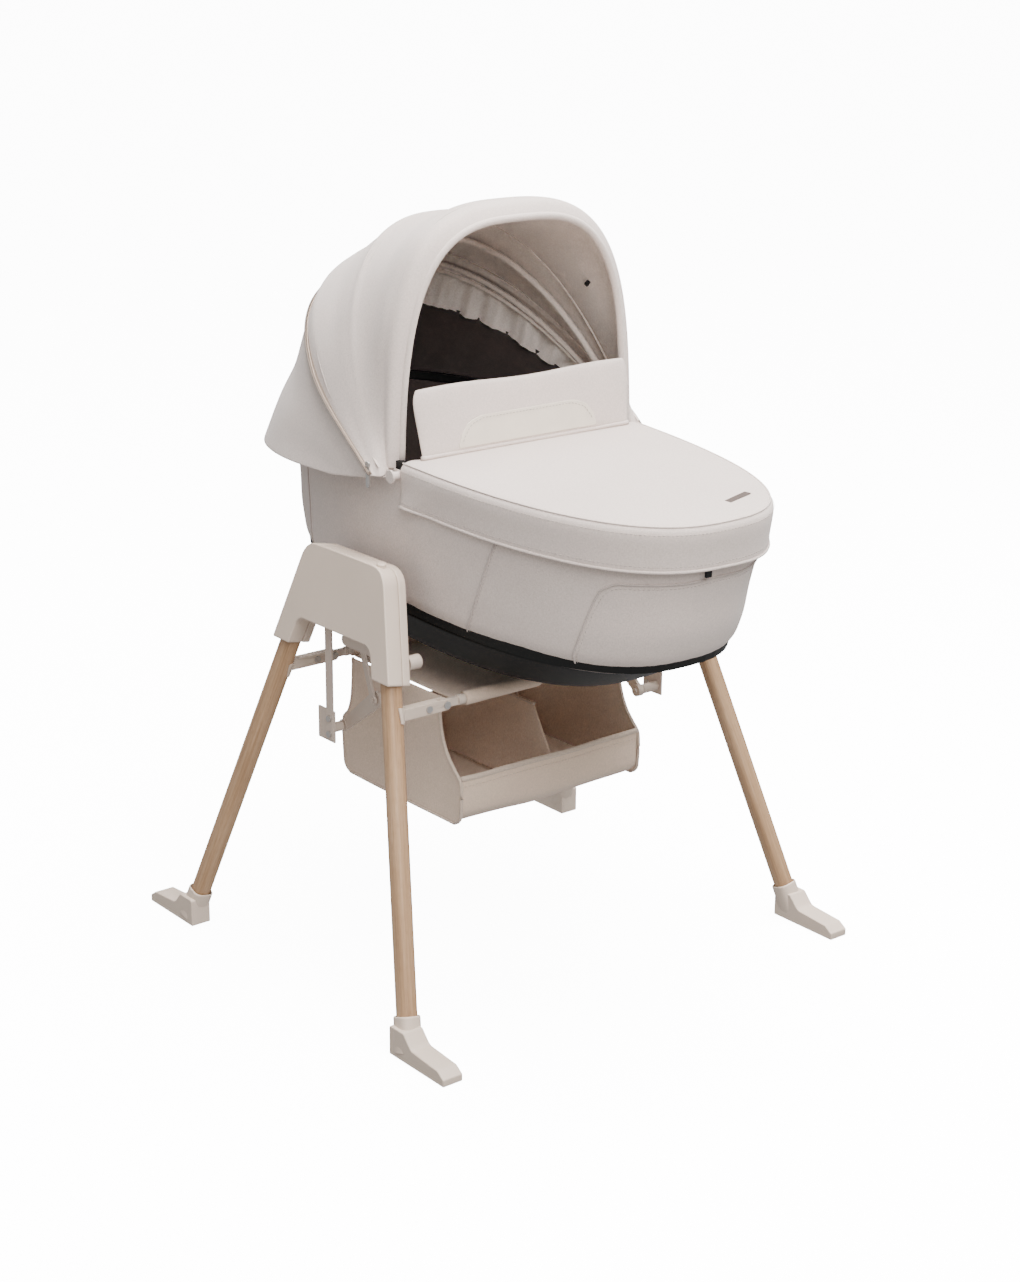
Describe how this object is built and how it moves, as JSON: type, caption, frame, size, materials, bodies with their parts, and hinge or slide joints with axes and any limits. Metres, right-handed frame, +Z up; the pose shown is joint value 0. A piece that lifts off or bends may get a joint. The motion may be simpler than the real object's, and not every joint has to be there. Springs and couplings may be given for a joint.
{
  "type": "bassinet on stand",
  "caption": "Fabric carrycot with hood, apron and wind flap on a folding stand with splayed wooden legs, rocking rails and a storage basket.",
  "frame": {"origin": "on the floor under the middle of the whole bassinet's box", "axes": "+Z up, -Y towards the foot end, +Y towards the hood end, +X to the left of someone standing at the hood end"},
  "size_m": [0.681, 0.813, 0.9675],
  "materials": {
    "moulding": "fine matt moulded plastic, warm grey beige",
    "leg_wood": "clear matt lacquered oak",
    "bar": "satin powder coat",
    "linkage": "satin steel",
    "fixings": "bronze coloured rivets",
    "canvas": "woven basket cloth",
    "oat_fabric": "melange woven cloth",
    "lining": "dark brown lining cloth",
    "mattress": "quilted cotton cover",
    "tub": "moulded inner tub",
    "black_plastic": "black moulded plastic",
    "trim": "matt plastic",
    "leatherette": "smooth cream leatherette"
  },
  "bodies": {
    "left_frame": {"hub_outer_left": "moulding", "hub_inner_left": "moulding", "leg_front_left": "leg_wood", "leg_rear_left": "leg_wood", "foot_front_left": "moulding", "foot_rear_left": "moulding", "brackets_left": "moulding", "hanger_left": "linkage", "rivets_left": "fixings", "hinge_pins_left": "fixings", "basket_body": "canvas", "basket_divider": "canvas", "basket_top": "canvas"},
    "right_frame": {"hub_outer_right": "moulding", "hub_inner_right": "moulding", "leg_front_right": "leg_wood", "leg_rear_right": "leg_wood", "foot_front_right": "moulding", "foot_rear_right": "moulding", "brackets_right": "moulding", "hanger_right": "linkage", "rivets_right": "fixings", "hinge_pins_right": "fixings"},
    "front_bar_left": {"bar_front_a": "bar", "centre_pin_front": "fixings"},
    "front_bar_right": {"bar_front_b": "bar"},
    "rear_bar_left": {"bar_rear_a": "bar"},
    "rear_bar_right": {"bar_rear_b": "bar", "centre_pin_rear": "fixings"},
    "rocker_left": {"rocker_arm_left": "linkage", "rocker_rail_left": "moulding"},
    "rocker_right": {"rocker_arm_right": "linkage", "rocker_rail_right": "moulding"},
    "strut_left": {"strut_left": "moulding"},
    "strut_right": {"strut_right": "moulding"},
    "link_left": {"link_left": "linkage"},
    "link_right": {"link_right": "linkage"},
    "carrycot": {"base_pan": "black_plastic", "carrycot_tub": "tub", "shell_fabric": "oat_fabric", "lining": "lining", "mattress": "mattress", "top_rim": "black_plastic", "adapters": "moulding", "apron": "oat_fabric", "badge": "linkage", "hem_hook": "black_plastic", "hood_rear": "oat_fabric", "hood_bow_rear": "linkage", "hood_discs": "trim"},
    "hood_middle": {"hood_panel_mid": "oat_fabric", "hood_bow_mid": "linkage"},
    "hood_front": {"hood_panel_front": "oat_fabric", "hood_bow_front": "oat_fabric"},
    "flap": {"wind_flap": "oat_fabric", "flap_patch": "leatherette"},
    "button_left": {"button_left": "trim"},
    "button_right": {"button_right": "trim"},
    "zip_puller": {"zip_puller": "linkage"}
  },
  "joints": [
    {"name": "fold", "type": "hinge", "parent": "left_frame", "child": "front_bar_left", "pos_m": [-0.175, -0.0935, 0.38], "axis": [0, -1, 0], "range_deg": [0, 68], "deforming": ["basket_body", "basket_divider", "basket_top"]},
    {"name": "fold_front_middle", "type": "hinge", "parent": "front_bar_left", "child": "front_bar_right", "pos_m": [0, -0.0935, 0.38], "axis": [0, -1, 0], "range_deg": [-136, 0]},
    {"name": "fold_front_right", "type": "hinge", "parent": "front_bar_right", "child": "right_frame", "pos_m": [0.175, -0.0935, 0.38], "axis": [0, -1, 0], "range_deg": [0, 68]},
    {"name": "fold_rear_left", "type": "hinge", "parent": "left_frame", "child": "rear_bar_left", "pos_m": [-0.175, 0.1465, 0.38], "axis": [0, -1, 0], "range_deg": [0, 68]},
    {"name": "fold_rear_middle", "type": "hinge", "parent": "rear_bar_left", "child": "rear_bar_right", "pos_m": [0, 0.1465, 0.38], "axis": [0, -1, 0], "range_deg": [-136, 0]},
    {"name": "rock", "type": "hinge", "parent": "left_frame", "child": "rocker_left", "pos_m": [-0.21, 0.0265, 0.47], "axis": [1, 0, 0], "range_deg": [-3.5, 3.5]},
    {"name": "rock_right", "type": "hinge", "parent": "right_frame", "child": "rocker_right", "pos_m": [0.21, 0.0265, 0.47], "axis": [1, 0, 0], "range_deg": [-3.5, 3.5]},
    {"name": "strut_left_turn", "type": "hinge", "parent": "left_frame", "child": "strut_left", "pos_m": [-0.194, 0.0915, 0.303], "axis": [1, 0, 0], "range_deg": [-2, 2]},
    {"name": "strut_right_turn", "type": "hinge", "parent": "right_frame", "child": "strut_right", "pos_m": [0.194, -0.0385, 0.303], "axis": [1, 0, 0], "range_deg": [-2, 2]},
    {"name": "link_left_turn", "type": "hinge", "parent": "strut_left", "child": "link_left", "pos_m": [-0.2, 0.0195, 0.358], "axis": [1, 0, 0], "range_deg": [-1, 1]},
    {"name": "link_right_turn", "type": "hinge", "parent": "strut_right", "child": "link_right", "pos_m": [0.2, 0.0335, 0.358], "axis": [1, 0, 0], "range_deg": [-1, 1]},
    {"name": "carrycot_lift", "type": "slide", "parent": "rocker_left", "child": "carrycot", "axis": [0, 0, 1], "range_m": [0, 0.59342]},
    {"name": "hood_open", "type": "hinge", "parent": "carrycot", "child": "hood_front", "pos_m": [0, -0.0235, 0.655], "axis": [-1, 0, 0], "range_deg": [0, 46]},
    {"name": "hood_middle_turn", "type": "hinge", "parent": "carrycot", "child": "hood_middle", "pos_m": [0, -0.0235, 0.655], "axis": [-1, 0, 0], "range_deg": [0, 23]},
    {"name": "flap_turn", "type": "hinge", "parent": "carrycot", "child": "flap", "pos_m": [0, -0.0375, 0.6755], "axis": [1, 0, 0], "range_deg": [0, 88]},
    {"name": "button_left_press", "type": "slide", "parent": "left_frame", "child": "button_left", "axis": [0, 0, -1], "range_m": [0, 0.0035], "stiffness_N_per_m": 300, "springref_m": -0.001},
    {"name": "button_right_press", "type": "slide", "parent": "right_frame", "child": "button_right", "axis": [0, 0, -1], "range_m": [0, 0.0035], "stiffness_N_per_m": 300, "springref_m": -0.001},
    {"name": "zip_swing", "type": "hinge", "parent": "carrycot", "child": "zip_puller", "pos_m": [-0.218, 0.0005, 0.668], "axis": [1, 0, 0], "range_deg": [-20, 20]}
  ],
  "couplings": [
    {"joint": "fold_front_middle", "follows": "fold", "ratio": -2},
    {"joint": "fold_front_right", "follows": "fold", "ratio": 1},
    {"joint": "fold_rear_left", "follows": "fold", "ratio": 1},
    {"joint": "fold_rear_middle", "follows": "fold", "ratio": -2},
    {"joint": "carrycot_lift", "follows": "fold", "m_per_rad": 0.5},
    {"joint": "rock_right", "follows": "rock", "ratio": 1},
    {"joint": "strut_left_turn", "follows": "rock", "ratio": -0.3779},
    {"joint": "strut_right_turn", "follows": "rock", "ratio": -0.3779},
    {"joint": "link_left_turn", "follows": "rock", "ratio": 0.111},
    {"joint": "link_right_turn", "follows": "rock", "ratio": 0.111},
    {"joint": "hood_middle_turn", "follows": "hood_open", "ratio": 0.5}
  ]
}
